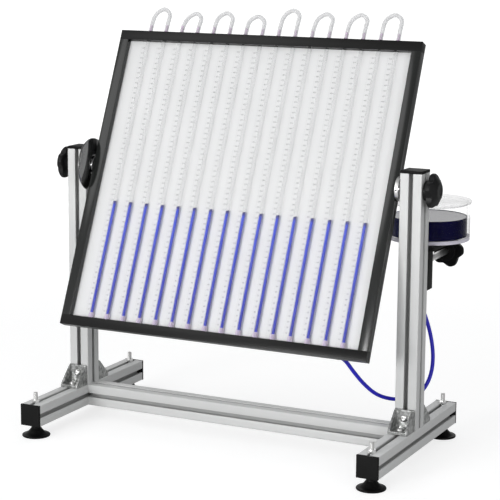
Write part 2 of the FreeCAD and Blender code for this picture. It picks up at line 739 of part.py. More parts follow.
def make_hose(outlet, port):
    """Limp hose from the tank's outlet, down behind the upright and round to the panel's port."""
    tilt = math.radians(lean)
    straight = 20.0
    after_port = (port[0], port[1] + straight * math.cos(tilt), port[2] - straight * math.sin(tilt))
    path = [(-35, 96, 296), (-12, 91, 255), (6, 84, 213), (15, 76, 172), (14, 64, 138), (2, 50, 112),
            (-23, 38, 101), (-44, 14, 105), (-59, -15, 119), (-71, -42, 143), (-81, -66, 170)]
    points = [outlet, (outlet[0], outlet[1], outlet[2] - 34)]
    points += [(half_spacing + x, y, z) for x, y, z in path] + [after_port, port]
    save("liquid_hose", swept_tube(points, hose_radius, True))


make_stand()
make_brackets()
make_feet()
header_middle = make_panel_frame()
make_tubes()
make_loops()
make_pivots()
make_panel_knobs()
holes_in_tank = make_carriage()
outlet_end = make_tank(holes_in_tank)
port_end = make_panel_port(header_middle)
make_hose(outlet_end, port_end)
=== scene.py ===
import math

import bmesh
import bpy
from mathutils import Matrix, Vector


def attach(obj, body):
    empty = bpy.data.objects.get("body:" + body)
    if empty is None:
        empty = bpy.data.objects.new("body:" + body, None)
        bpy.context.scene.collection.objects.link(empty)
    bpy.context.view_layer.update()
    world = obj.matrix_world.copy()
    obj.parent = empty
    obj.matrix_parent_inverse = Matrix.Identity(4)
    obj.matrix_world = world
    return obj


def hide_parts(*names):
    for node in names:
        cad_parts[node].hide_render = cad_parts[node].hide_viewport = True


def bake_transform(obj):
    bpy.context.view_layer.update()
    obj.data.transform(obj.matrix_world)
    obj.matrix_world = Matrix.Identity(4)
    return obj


# Multi tube manometer: the looks of the slotted aluminium stand, the tilting panel with its
# sixteen tubes, and the clear liquid tank.

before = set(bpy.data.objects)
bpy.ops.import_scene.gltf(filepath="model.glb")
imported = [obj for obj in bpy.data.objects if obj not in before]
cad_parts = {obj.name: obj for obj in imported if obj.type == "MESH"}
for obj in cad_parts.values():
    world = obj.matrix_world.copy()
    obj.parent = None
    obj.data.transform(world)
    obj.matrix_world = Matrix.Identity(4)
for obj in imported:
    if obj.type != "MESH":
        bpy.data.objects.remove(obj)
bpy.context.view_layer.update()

MM = 0.001
FOOTPRINT_SHIFT = -9.85       # the stand's middle in the part's own frame, along X
HALF_SPACING = 335.0          # from the stand's middle to each upright's axis
HALF_PROFILE = 20.0
PIVOT_HEIGHT = 487.0
LEAN = 24.0                   # degrees, the panel from the vertical
LIQUID_LEVEL = 427.0
TANK_FLOOR = 392.7            # inside the tank
BEAM_MIDDLE = 43.0            # axes of the beams and the crossbar above the bench
FACE_GAP = 0.3                # between faces that slide on each other
STUD_RADIUS = 4.0
STUD_HOLE = 4.05              # threaded hole of a nut, a pad or a knob

# From the stand's and the panel's millimetres to the part's own metres
to_part = Matrix.Scale(MM, 4) @ Matrix.Translation((FOOTPRINT_SHIFT, 0, 0))
panel_to_part = (to_part @ Matrix.Translation((0, 0, PIVOT_HEIGHT))
                 @ Matrix.Rotation(-math.radians(LEAN), 4, "X"))


def placed(name, data):
    """New object of a mesh, a curve, a lamp or a camera, in the scene."""
    made = bpy.data.objects.new(name, data)
    bpy.context.collection.objects.link(made)
    return made


def plain_mesh(piece):
    """New mesh of what an object's modifiers or curve give."""
    return bpy.data.meshes.new_from_object(piece.evaluated_get(bpy.context.evaluated_depsgraph_get()))


# ---------------------------------------------------------------- camera and light

CAMERA_PLACE = (1392.07, -2783.22, 943.04)
CAMERA_YAW, CAMERA_PITCH, CAMERA_ROLL = 0.4582, 0.1879, 0.0068
CAMERA_LENS, CAMERA_SENSOR = 125.3, 36.0

# Name, place in metres, size in metres and watts
LAMPS = (("key_lamp", (-0.7, -3.6, 0.8), 1.2, 64),
         ("high_lamp", (-2.4, -2.8, 3.5), 2.4, 27),
         ("fill_lamp", (2.6, -2.2, 1.5), 2.0, 24),
         ("rear_lamp", (-0.6, 2.6, 2.0), 1.8, 10))
LAMP_AIM = Vector((0.0, 0.0, 0.35))


def make_camera():
    forward = Vector((-math.sin(CAMERA_YAW) * math.cos(CAMERA_PITCH),
                      math.cos(CAMERA_YAW) * math.cos(CAMERA_PITCH), -math.sin(CAMERA_PITCH)))
    level = forward.cross(Vector((0, 0, 1))).normalized()
    above = level.cross(forward)
    right = level * math.cos(CAMERA_ROLL) + above * math.sin(CAMERA_ROLL)
    top = above * math.cos(CAMERA_ROLL) - level * math.sin(CAMERA_ROLL)
    data = bpy.data.cameras.new("photo_camera")
    data.lens, data.sensor_width = CAMERA_LENS, CAMERA_SENSOR
    data.clip_start, data.clip_end = 0.05, 200.0
    camera = placed("photo_camera", data)
    turn = Matrix((right, top, -forward)).transposed().to_4x4()
    camera.matrix_world = Matrix.Translation(to_part @ Vector(CAMERA_PLACE)) @ turn
    bpy.context.scene.camera = camera


def soft_lamp(name, place, size, watts):
    data = bpy.data.lights.new(name, "AREA")
    data.shape, data.size, data.energy = "DISK", size, watts
    place = Vector(place)
    turn = (place - LAMP_AIM).to_track_quat("Z", "Y").to_matrix().to_4x4()
    placed(name, data).matrix_world = Matrix.Translation(place) @ turn


# ---------------------------------------------------------------- finishes

class Value:
    """A node's output; arithmetic on it adds Math nodes to the same finish."""

    def __init__(self, finish, socket):
        self.finish, self.socket = finish, socket

    def math(self, operation, *others):
        return self.finish.node("ShaderNodeMath", {"operation": operation},
                                dict(enumerate((self,) + others)))

    def __add__(self, other):
        return self.math("ADD", other)

    def __mul__(self, other):
        return self.math("MULTIPLY", other)

    def __sub__(self, other):
        return self.math("SUBTRACT", other)

    def __pow__(self, other):
        return self.math("POWER", other)

    def __rsub__(self, other):
        return self.finish.node("ShaderNodeMath", {"operation": "SUBTRACT"}, {0: other, 1: self})

    __radd__ = __add__

    def between(self, low, high):
        """0 at low, 1 at high, smooth between them."""
        return self.finish.node("ShaderNodeMapRange",
                                {"interpolation_type": "SMOOTHSTEP", "clamp": True},
                                {"Value": self, "From Min": low, "From Max": high})


class Finish:
    """A material under construction; its patterns read the piece's Object coordinates, in metres."""

    def __init__(self, name, tree=None):
        if tree is None:
            self.material = bpy.data.materials.new(name)
            self.material.use_nodes = True
            tree = self.material.node_tree
        self.tree = tree
        tree.nodes.clear()

    def node(self, kind, settings=None, sockets=None, output=0):
        node = self.tree.nodes.new(kind)
        for key, value in (settings or {}).items():
            setattr(node, key, value)
        for key, value in (sockets or {}).items():
            if isinstance(value, Value):
                self.tree.links.new(value.socket, node.inputs[key])
            elif isinstance(value, tuple) and node.inputs[key].type == "RGBA":
                node.inputs[key].default_value = (*value, 1)
            else:
                node.inputs[key].default_value = value
        return Value(self, node.outputs[output]) if len(node.outputs) else node

    def place(self):
        return self.node("ShaderNodeTexCoord", output="Object")

    def along(self, axis):
        """Place along X, Y or Z."""
        return self.node("ShaderNodeSeparateXYZ", sockets={0: self.place()}, output=axis)

    def grain(self, per_metre, detail=2.0, stretch=(1, 1, 1)):
        """Noise from 0 to 1; a small stretch number draws it out along that axis."""
        where = self.node("ShaderNodeMapping", sockets={"Vector": self.place(), "Scale": stretch})
        return self.node("ShaderNodeTexNoise",
                         sockets={"Vector": where, "Scale": per_metre, "Detail": detail})

    def mix(self, factor, first, second):
        """Colour between two colours; 6, 7 and 2 are the node's colour sockets."""
        return self.node("ShaderNodeMix", {"data_type": "RGBA"}, {0: factor, 6: first, 7: second},
                         output=2)

    def relief(self, height, strength, depth):
        """Normal from a bump of that real depth in metres."""
        return self.node("ShaderNodeBump",
                         sockets={"Height": height, "Strength": strength, "Distance": depth})

    def edge_on(self):
        """0 where the surface faces the eye, 1 at its outline."""
        return self.node("ShaderNodeLayerWeight", sockets={"Blend": 0.5}, output="Facing")

    def surface(self, **sockets):
        names = {key.replace("_", " "): value for key, value in sockets.items()}
        shader = self.node("ShaderNodeBsdfPrincipled", sockets=names)
        self.node("ShaderNodeOutputMaterial", sockets={"Surface": shader})
        return self.material


def shade_of(colour, share):
    """The colour made darker or lighter."""
    return tuple(c * share for c in colour)


# Painted shade in the T-slots: between these distances from the profile's axis the colour falls to
# SLOT_SHADE of the aluminium's
SLOT_DEEP, SLOT_SHALLOW = 0.0165, 0.0195    # metres from the profile's axis
SLOT_SHADE = 0.62


def anodised(name, stretch, colour, *offsets):
    """Drawn aluminium, matt anodised, with fine lines along the profile and painted shade that darkens the
    insides of the slots.

    The offsets are (axis, half spacing, middle) of the directions across the profile, in metres."""
    f = Finish(name)
    lines = f.grain(900, 3, stretch)
    cloud = f.grain(14, 2)
    base = f.mix(cloud * 0.6 + lines * 0.4, shade_of(colour, 0.93), colour)
    away = [((f.along(axis) - middle).math("ABSOLUTE") - half).math("ABSOLUTE")
            for axis, half, middle in offsets]
    # Painted shade: inside the slots the base colour is the darker one
    outside_painted_slot_shade = away[0].math("MAXIMUM", away[1]).between(SLOT_DEEP, SLOT_SHALLOW)
    base = f.mix(outside_painted_slot_shade, shade_of(colour, SLOT_SHADE), base)
    return f.surface(Base_Color=base, Metallic=0.16, Roughness=0.56 + lines * 0.12,
                     Normal=f.relief(lines, 0.2, 0.00006))


def die_cast(name):
    """Tumbled die casting, mottled and half bright."""
    f = Finish(name)
    skin = f.grain(1400, 3)
    cloud = f.grain(170, 4).between(0.3, 0.7)
    base = f.mix(cloud, (0.17, 0.175, 0.17), (0.46, 0.465, 0.46))
    return f.surface(Base_Color=base, Metallic=0.8, Roughness=0.24 + skin * 0.22,
                     Normal=f.relief(skin + cloud, 0.5, 0.0003))


def bright_steel(name, colour, rough):
    """Plated steel with faint handling marks."""
    f = Finish(name)
    marks = f.grain(700, 4)
    base = f.mix(marks, shade_of(colour, 0.88), colour)
    return f.surface(Base_Color=base, Metallic=1.0, Roughness=rough + marks * 0.12,
                     Normal=f.relief(marks, 0.12, 0.0001))


def moulded_black(name, colour, rough, depth, shine, coat=0.0):
    """Black moulding with a fine leather-like grain."""
    f = Finish(name)
    grain = f.grain(1600, 3)
    cloud = f.grain(35, 2)
    base = f.mix(cloud, colour, shade_of(colour, 1.5))
    return f.surface(Base_Color=base, Roughness=rough + grain * 0.12, Specular_IOR_Level=shine,
                     Coat_Weight=coat, Coat_Roughness=0.05, Coat_IOR=2.0,
                     Normal=f.relief(grain, 0.3, depth))


def frame_black(name, colour, rough, shine):
    """Smooth black lacquer of the panel's frame, with a faint cloudiness."""
    f = Finish(name)
    grain = f.grain(1800, 3)
    cloud = f.grain(9, 2)
    base = f.mix(cloud, colour, shade_of(colour, 1.5))
    return f.surface(Base_Color=base, Roughness=rough + grain * 0.08, Specular_IOR_Level=shine,
                     Normal=f.relief(grain, 0.15, 0.00003))


def sheet_white(name):
    """White sheet, very slightly mottled."""
    f = Finish(name)
    cloud = f.grain(12, 3)
    skin = f.grain(1200, 2)
    base = f.mix(cloud, (0.72, 0.725, 0.725), (0.78, 0.78, 0.782))
    return f.surface(Base_Color=base, Roughness=0.42 + skin * 0.08, Normal=f.relief(skin, 0.1, 0.00004))


def printed_grey(name, colour):
    """Printing ink of the scales, unevenly dense."""
    f = Finish(name)
    wear = f.grain(260, 3)
    base = f.mix(wear, colour, shade_of(colour, 1.25))
    return f.surface(Base_Color=base, Roughness=0.55 + wear * 0.1)


def clear_tube(name):
    """Clear tube: seen mostly at its outline, tinted where it holds liquid."""
    f = Finish(name)
    edge = f.edge_on()
    streak = f.grain(160, 2, (1, 0.06, 0.06))
    wet = 1 - f.along("Z").between((LIQUID_LEVEL - 3) * MM, (LIQUID_LEVEL + 2) * MM)
    base = f.mix(wet, (0.62, 0.63, 0.64), (0.66, 0.62, 1.0))
    alpha = 0.02 + streak * 0.03 + edge ** 3 * 0.36 + wet * edge ** 1.5 * 0.25
    return f.surface(Base_Color=base, Roughness=0.08 + streak * 0.05, Alpha=alpha)


def clear_hose(name):
    """Soft clear hose, slightly milky."""
    f = Finish(name)
    edge = f.edge_on()
    cloud = f.grain(45, 2)
    base = f.mix(cloud, (0.74, 0.74, 0.75), (0.8, 0.8, 0.81))
    return f.surface(Base_Color=base, Roughness=0.3 + cloud * 0.1,
                     Alpha=0.36 + cloud * 0.04 + edge ** 3 * 0.2)


def clear_acrylic(name):
    """Acrylic of the tank: clear walls, and a milky floor that takes up the liquid's colour."""
    f = Finish(name)
    edge = f.edge_on()
    haze = f.grain(90, 3)
    height = f.along("Z")
    solid = 1 - height.between((TANK_FLOOR - 1) * MM, (TANK_FLOOR + 0.5) * MM)
    wet = 1 - height.between((LIQUID_LEVEL - 1) * MM, (LIQUID_LEVEL + 1) * MM)
    wall = f.mix(wet, (0.8, 0.81, 0.82), (0.17, 0.165, 0.17))
    base = f.mix(solid, wall, (0.8, 0.77, 0.88))
    soaked = wet * (1 - solid)
    alpha = 0.004 + haze * 0.008 + edge ** 5 * (0.3 + soaked * 0.7) + solid * 0.74
    return f.surface(Base_Color=base, Roughness=0.05 + haze * 0.06, Specular_IOR_Level=0.3, Alpha=alpha)


def clear_lid(name):
    """Clear lid, a little greyer than the tank."""
    f = Finish(name)
    edge = f.edge_on()
    haze = f.grain(70, 3)
    base = f.mix(haze, (0.46, 0.46, 0.47), (0.55, 0.55, 0.56))
    return f.surface(Base_Color=base, Roughness=0.06 + haze * 0.08,
                     Alpha=0.12 + haze * 0.05 + edge ** 3 * 0.35)


def tube_liquid(name):
    """Bright blue liquid, darker towards the foot of the tubes and at its surface."""
    f = Finish(name)
    depth = f.along("Z").between(0.23, LIQUID_LEVEL * MM)
    ripple = f.grain(60, 2, (1, 0.2, 0.2))
    blue = f.mix(depth * 0.7 + ripple * 0.3, (0.018, 0.03, 0.4), (0.05, 0.1, 0.68))
    tip = f.along("Z").between((LIQUID_LEVEL - 7) * MM, (LIQUID_LEVEL - 2) * MM)
    base = f.mix(tip, blue, (0.05, 0.055, 0.22))
    return f.surface(Base_Color=base, Roughness=0.12 + ripple * 0.06, Specular_IOR_Level=0.3)


def tank_liquid(name, shine):
    """Deep blue liquid, with painted light that makes it brighter towards the stand's middle; shine is its
    specular level.
    """
    f = Finish(name)
    ripple = f.grain(45, 2)
    # Painted light: the liquid's side towards the stand's middle gets a brighter blue
    across = f.along("X").between(0.31, 0.27)
    deep = f.mix(ripple, (0.0006, 0.0006, 0.022), (0.002, 0.0015, 0.036))
    base = f.mix(across, deep, (0.011, 0.015, 0.1))
    return f.surface(Base_Color=base, Roughness=0.04 + ripple * 0.04, Specular_IOR_Level=shine)


def blue_hose(name):
    """Hose full of blue liquid, with a soft skin."""
    f = Finish(name)
    skin = f.grain(900, 3)
    cloud = f.grain(40, 2)
    base = f.mix(cloud, (0.012, 0.01, 0.44), (0.03, 0.024, 0.66))
    return f.surface(Base_Color=base, Roughness=0.28 + skin * 0.12, Specular_IOR_Level=0.3,
                     Normal=f.relief(skin, 0.2, 0.0001))


def tinted_plastic(name, colour, alpha):
    """Small moulded tube fittings, half clear."""
    f = Finish(name)
    cloud = f.grain(300, 2)
    edge = f.edge_on()
    base = f.mix(cloud, colour, shade_of(colour, 1.2))
    return f.surface(Base_Color=base, Roughness=0.25 + cloud * 0.1,
                     Alpha=alpha + edge * (0.95 - alpha))


ALUMINIUM = (0.68, 0.685, 0.68)
SIDE_TO_SIDE = ("X", HALF_SPACING * MM, FOOTPRINT_SHIFT * MM)
FRONT_TO_REAR = ("Y", 0, 0)
UP = ("Z", 0, BEAM_MIDDLE * MM)
along_x = anodised("anodised_along_x", (0.02, 1, 1), ALUMINIUM, FRONT_TO_REAR, UP)
along_y = anodised("anodised_along_y", (1, 0.02, 1), ALUMINIUM, SIDE_TO_SIDE, UP)
along_z = anodised("anodised_along_z", (1, 1, 0.02), ALUMINIUM, SIDE_TO_SIDE, FRONT_TO_REAR)
cast_grey = die_cast("die_cast_grey")
BRIGHT = (0.86, 0.86, 0.85)
zinc = bright_steel("bright_zinc", BRIGHT, 0.24)
collar_steel = bright_steel("satin_collar", BRIGHT, 0.3)
nickel = bright_steel("nickel_fitting", (0.7, 0.68, 0.62), 0.24)
black_cap = moulded_black("black_end_cap", (0.006, 0.006, 0.006), 0.55, 0.00012, 0.11)
black_block = moulded_black("black_block", (0.003, 0.003, 0.003), 0.45, 0.0001, 0.12)
black_knob = moulded_black("black_knob", (0.005, 0.005, 0.0055), 0.36, 0.00012, 0.22)
black_foot = moulded_black("black_foot", (0.0018, 0.0018, 0.0018), 0.38, 0.00008, 0.14)
black_disc = moulded_black("gloss_black_disc", (0.003, 0.003, 0.0035), 0.14, 0.00001, 0.9, 1.0)
black_side = frame_black("black_side_lacquer", (0.008, 0.009, 0.0085), 0.12, 0.45)
black_rail = frame_black("black_rail_lacquer", (0.006, 0.006, 0.006), 0.26, 0.22)
white_sheet = sheet_white("white_scale_sheet")
scale_ink = printed_grey("scale_ink", (0.4, 0.4, 0.41))
number_ink = printed_grey("number_ink", (0.2, 0.2, 0.21))
tube_clear = clear_tube("clear_measuring_tube")
loop_clear = clear_hose("clear_loop_hose")
tank_clear = clear_acrylic("clear_tank_acrylic")
lid_clear = clear_lid("clear_lid_acrylic")
column_blue = tube_liquid("liquid_in_tubes")
tank_blue = tank_liquid("liquid_in_tank", 0.05)
tank_surface = tank_liquid("liquid_surface", 0.7)
hose_blue = blue_hose("blue_hose_skin")
bush_tint = tinted_plastic("lavender_bush", (0.8, 0.7, 0.82), 0.35)
nozzle_tint = tinted_plastic("violet_nozzle", (0.56, 0.22, 0.6), 0.72)


# ---------------------------------------------------------------- making meshes

def as_object(name, data, sharp=35.0):
    """Object with its mesh cleaned: doubles merged, faces outwards, smooth but for real edges."""
    bm = bmesh.new()
    bm.from_mesh(data)
    bmesh.ops.remove_doubles(bm, verts=bm.verts, dist=2e-7)
    bmesh.ops.recalc_face_normals(bm, faces=bm.faces)
    bm.to_mesh(data)
    bm.free()
    data.name = name
    data.shade_smooth()
    data.set_sharp_from_angle(angle=math.radians(sharp))
    return placed(name, data)


def mesh_piece(name, points, faces, place=to_part, sharp=35.0):
    """Object from millimetre points and faces, put in its place."""
    data = bpy.data.meshes.new(name)
    data.from_pydata([place @ Vector(p) for p in points], [], faces)
    return as_object(name, data, sharp)


def dressed(piece, finish, body, slot, *nodes):
    """Gives a piece its finish and its body, and hides the CAD nodes that it stands for; the slot is not
    used.
    """
    piece.data.materials.clear()
    piece.data.materials.append(finish)
    if body:
        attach(piece, body)
    if nodes:
        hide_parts(*nodes)
    return piece


def repaint(finish, *nodes):
    """Gives CAD nodes that stay as they are their finish."""
    for name in nodes:
        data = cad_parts[name].data
        data.materials.clear()
        data.materials.append(finish)


def softened(node, width, sharp=30.0):
    """Copy of a CAD node with its hard edges broken by a small bevel, width in millimetres."""
    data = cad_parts[node].data.copy()
    data.materials.clear()
    bm = bmesh.new()
    bm.from_mesh(data)
    bmesh.ops.remove_doubles(bm, verts=bm.verts, dist=2e-6)
    bmesh.ops.dissolve_limit(bm, angle_limit=math.radians(0.4), verts=bm.verts, edges=bm.edges)
    limit = math.radians(sharp)
    hard = [e for e in bm.edges if len(e.link_faces) == 2 and e.calc_face_angle(0) > limit]
    bmesh.ops.bevel(bm, geom=hard, offset=width * MM, segments=2, profile=0.6, affect="EDGES",
                    clamp_overlap=True)
    clean = bpy.data.meshes.new(node + "_finished")
    bm.to_mesh(clean)
    bm.free()
    return as_object(node + "_finished", clean)


def dress_nodes(width, finish, body, slot, *nodes):
    """Softened copies of CAD nodes, dressed in their place."""
    for node in nodes:
        dressed(softened(node, width), finish, body, slot, node)


def rounded(outline, radius, steps=4):
    """Closed (radius, height) outline with its corners off the axis rounded."""
    done = []
    count = len(outline)
    for i, (r, h) in enumerate(outline):
        here = Vector((r, h))
        if r < 1e-6:
            done.append((r, h))
            continue
        before, after = Vector(outline[i - 1]) - here, Vector(outline[(i + 1) % count]) - here
        reach = min(radius, 0.45 * before.length, 0.45 * after.length)
        first, last = here + before.normalized() * reach, here + after.normalized() * reach
        for step in range(steps + 1):
            t = step / steps
            point = first * (1 - t) ** 2 + here * (2 * t * (1 - t)) + last * t ** 2
            done.append((point.x, point.y))
    return done


def turned(name, outline, axis=Matrix(), place=to_part, sides=96, radius_at=None, sharp=35.0):
    """Turned piece from its (radius, height) outline, shaped by radius_at(radius, height, angle)."""
    points, rings = [], []
    for r, h in outline:
        if r < 1e-6:
            rings.append([len(points)] * sides)
            points.append((0, 0, h))
            continue
        rings.append(list(range(len(points), len(points) + sides)))
        for side in range(sides):
            angle = 2 * math.pi * side / sides
            here = radius_at(r, h, angle) if radius_at else r
            points.append((here * math.cos(angle), here * math.sin(angle), h))
    faces = []
    for low, high in zip(rings, rings[1:] + rings[:1]):
        for side in range(sides):
            after = (side + 1) % sides
            corners = [low[side], low[after], high[after], high[side]]
            face = [c for i, c in enumerate(corners) if c != corners[i - 1]]
            if len(face) > 2:
                faces.append(face)
    return mesh_piece(name, points, faces, place @ axis, sharp)


def pointing(at, along):
    """Matrix that carries +Z at the origin to a place and direction."""
    turn = Vector((0, 0, 1)).rotation_difference(Vector(along))
    return Matrix.Translation(at) @ turn.to_matrix().to_4x4()


def joined(name, pieces):
    """Several fresh objects as one, each still closed."""
    bm = bmesh.new()
    for piece in pieces:
        bm.from_mesh(piece.data)
        bpy.data.objects.remove(piece)
    data = bpy.data.meshes.new(name)
    bm.to_mesh(data)
    bm.free()
    return placed(name, data)


# ---------------------------------------------------------------- rows and hoses grown by node trees

def grown(piece, tree, **inputs):
    """Runs a tree on a piece and keeps the result as its plain mesh."""
    modifier = piece.modifiers.new("grow", "NODES")
    modifier.node_group = tree
    for item in tree.interface.items_tree:
        key = item.name.replace(" ", "_").lower()
        if item.item_type == "SOCKET" and item.in_out == "INPUT" and key in inputs:
            modifier[item.identifier] = inputs[key]
    data = plain_mesh(piece)
    piece.modifiers.remove(modifier)
    old = piece.data
    piece.data = data
    bpy.data.meshes.remove(old)
    return piece


def new_tree(name, sockets):
    tree = bpy.data.node_groups.new(name, "GeometryNodeTree")
    tree.is_modifier = True
    for label, kind in sockets:
        tree.interface.new_socket(label, in_out="INPUT", socket_type=kind)
    tree.interface.new_socket("Geometry", in_out="OUTPUT", socket_type="NodeSocketGeometry")
    return tree, tree.nodes.new("NodeGroupInput"), tree.nodes.new("NodeGroupOutput")


def close_tree(tree, made, given, output):
    """Every tree ends in real geometry with its finish."""
    real = tree.nodes.new("GeometryNodeRealizeInstances")
    paint = tree.nodes.new("GeometryNodeSetMaterial")
    tree.links.new(made, real.inputs["Geometry"])
    tree.links.new(real.outputs["Geometry"], paint.inputs["Geometry"])
    tree.links.new(given.outputs["Finish"], paint.inputs["Material"])
    tree.links.new(paint.outputs["Geometry"], output.inputs["Geometry"])


def row_tree():
    """One piece repeated along a straight line."""
    tree, given, output = new_tree("row_of_pieces", [
        ("Geometry", "NodeSocketGeometry"), ("Count", "NodeSocketInt"),
        ("Step", "NodeSocketVector"), ("Finish", "NodeSocketMaterial")])
    line = tree.nodes.new("GeometryNodeMeshLine")
    line.mode = "OFFSET"
    tree.links.new(given.outputs["Count"], line.inputs["Count"])
    tree.links.new(given.outputs["Step"], line.inputs["Offset"])
    copies = tree.nodes.new("GeometryNodeInstanceOnPoints")
    tree.links.new(line.outputs["Mesh"], copies.inputs["Points"])
    tree.links.new(given.outputs["Geometry"], copies.inputs["Instance"])
    close_tree(tree, copies.outputs["Instances"], given, output)
    return tree


def tube_tree():
    """Round tube along a line of points."""
    tree, given, output = new_tree("tube_on_route", [
        ("Geometry", "NodeSocketGeometry"), ("Radius", "NodeSocketFloat"),
        ("Sides", "NodeSocketInt"), ("Closed Ends", "NodeSocketBool"), ("Finish", "NodeSocketMaterial")])
    route = tree.nodes.new("GeometryNodeMeshToCurve")
    ring = tree.nodes.new("GeometryNodeCurvePrimitiveCircle")
    sweep = tree.nodes.new("GeometryNodeCurveToMesh")
    smooth = tree.nodes.new("GeometryNodeSetShadeSmooth")
    tree.links.new(given.outputs["Geometry"], route.inputs["Mesh"])
    tree.links.new(given.outputs["Sides"], ring.inputs["Resolution"])
    tree.links.new(given.outputs["Radius"], ring.inputs["Radius"])
    tree.links.new(route.outputs["Curve"], sweep.inputs["Curve"])
    tree.links.new(ring.outputs["Curve"], sweep.inputs["Profile Curve"])
    tree.links.new(given.outputs["Closed Ends"], sweep.inputs["Fill Caps"])
    tree.links.new(sweep.outputs["Mesh"], smooth.inputs["Geometry"])
    close_tree(tree, smooth.outputs["Geometry"], given, output)
    return tree


ROW = row_tree()
TUBE = tube_tree()


def route_line(name, routes, place=to_part):
    """Mesh line of points read from smooth splines with the routes' points as control points."""
    curve = bpy.data.curves.new(name, "CURVE")
    curve.dimensions = "3D"
    for route in routes:
        spline = curve.splines.new("NURBS")
        spline.points.add(len(route) - 1)
        for point, spot in zip(spline.points, route):
            point.co = (*(place @ Vector(spot)), 1)
        spline.order_u = 3
        spline.use_endpoint_u = True
        spline.resolution_u = 12
    holder = placed(name, curve)
    data = plain_mesh(holder)
    bpy.data.objects.remove(holder)
    bpy.data.curves.remove(curve)
    return data


def line_object(name, points):
    data = bpy.data.meshes.new(name)
    data.from_pydata(points, [(i, i + 1) for i in range(len(points) - 1)], [])
    return placed(name, data)


def recleaned(piece, sharp=35.0):
    """Merges and re-shades a piece that a tree has made."""
    name, data = piece.name, piece.data
    bpy.data.objects.remove(piece)
    return as_object(name, data, sharp)


# ---------------------------------------------------------------- stand

BEAM_TOP = BEAM_MIDDLE + HALF_PROFILE
STUD_TOP = 83.0
FOOT_Y = 172.0
PAD_RADIUS, PAD_NECK = 26.0, 9.0
PAD_RIM, PAD_SLOPE, PAD_TOP = 3.8, 16.0, 22.85      # heights of the pad's cone and of its top
PAD_SOCKET = 9.0              # floor of the stud's socket
NUT_FLATS, NUT_HEIGHT = 13.0, 6.5
THREAD_PITCH = 1.25
THREAD_DEPTH = 0.5


def make_stand():
    dress_nodes(0.25, along_y, "stand", "profile", "beam_left", "beam_right")
    dress_nodes(0.25, along_x, "stand", "profile", "crossbar")
    dress_nodes(0.25, along_z, "stand", "profile", "upright_left", "upright_right")
    dress_nodes(0.3, black_cap, "stand", "black_plastic", "beam_end_caps", "upright_caps")
    dressed(softened("corner_brackets", 0.7, 40), cast_grey, "stand", "bracket", "corner_brackets")
    dress_nodes(0.2, zinc, "stand", "bolt_steel", "bracket_bolts")
    repaint(zinc, "crossbar_bolts", "bracket_slot_nuts")


def threaded_rod(name, low, high, thread_low, place):
    """Stud with a rolled thread above thread_low and a chamfered end."""
    sides, per_turn, chamfer = 32, 8, 1.0
    step = THREAD_PITCH / per_turn
    outline = [(0, low), (STUD_RADIUS, low), (STUD_RADIUS, thread_low)]
    count = int((high - chamfer - thread_low) / step)
    outline += [(STUD_RADIUS, thread_low + step * (i + 1)) for i in range(count)]
    outline += [(STUD_RADIUS - chamfer, high), (0, high)]

    def ridge(r, h, angle):
        if h <= thread_low + 1e-6 or h >= high - chamfer / 2:
            return r
        turn = (h / THREAD_PITCH - angle / (2 * math.pi)) % 1
        wave = abs(2 * turn - 1)
        return r - THREAD_DEPTH * min(1, (h - thread_low) / THREAD_PITCH) * (1 - wave)

    return turned(name, outline, Matrix(), place, sides, ridge, 60)


def hex_nut(name, place):
    """Hexagon nut with its corners turned off."""
    corner, face = NUT_FLATS / math.sqrt(3), NUT_FLATS / 2 - 0.2
    cut, lead_in = 0.9, 0.5
    sides = [(corner, cut + (NUT_HEIGHT - 2 * cut) * i / 4) for i in range(5)]
    outline = [(STUD_HOLE, lead_in), (STUD_HOLE + lead_in, 0), (face, 0), *sides, (face, NUT_HEIGHT),
               (STUD_HOLE + lead_in, NUT_HEIGHT), (STUD_HOLE, NUT_HEIGHT - lead_in)]

    def flat_sides(r, h, angle):
        if r <= STUD_HOLE + 1:
            return r
        away = (angle + math.pi / 6) % (math.pi / 3) - math.pi / 6
        return min(r, NUT_FLATS / 2 / math.cos(away))

    turn = Matrix.Rotation(math.pi / 6, 4, "Z")
    return turned(name, outline, turn, place, 72, flat_sides, 25)


def make_feet():
    """Four moulded pads with hollow cones, their studs, and the lock nuts on the beams."""
    wide = PAD_RADIUS - 1
    cone = [(wide - (wide - PAD_NECK) * t, PAD_RIM + (PAD_SLOPE - PAD_RIM) * t * t)
            for t in (0, 0.15, 0.3, 0.45, 0.6, 0.75, 0.9, 1)]
    outline = rounded([(STUD_HOLE, PAD_SOCKET), (0, PAD_SOCKET), (0, 0), (wide, 0), (PAD_RADIUS, 1),
                       (PAD_RADIUS, PAD_RIM - 1), *cone, (PAD_NECK, PAD_TOP), (STUD_HOLE, PAD_TOP)], 0.7, 3)
    nuts = []
    for x, left_right in ((-HALF_SPACING, "left"), (HALF_SPACING, "right")):
        for y, front_rear in ((-FOOT_Y, "front"), (FOOT_Y, "rear")):
            place = front_rear + "_" + left_right
            spot = to_part @ Matrix.Translation((x, y, 0))
            pad = turned("foot_pad_moulding_" + place, outline, Matrix(), spot)
            dressed(pad, black_foot, "foot_" + place, "black_plastic", "foot_pad_" + place)
            stud = threaded_rod("foot_stud_threaded_" + place, PAD_SOCKET, STUD_TOP, BEAM_TOP - 6, spot)
            dressed(stud, zinc, "foot_" + place, "bolt_steel", "foot_stud_" + place)
            nuts.append(hex_nut("nut_" + place, spot @ Matrix.Translation((0, 0, BEAM_TOP))))
    dressed(recleaned(joined("foot_nuts", nuts), 25), zinc, "stand", "bolt_steel", "foot_lock_nuts")


# ---------------------------------------------------------------- panel

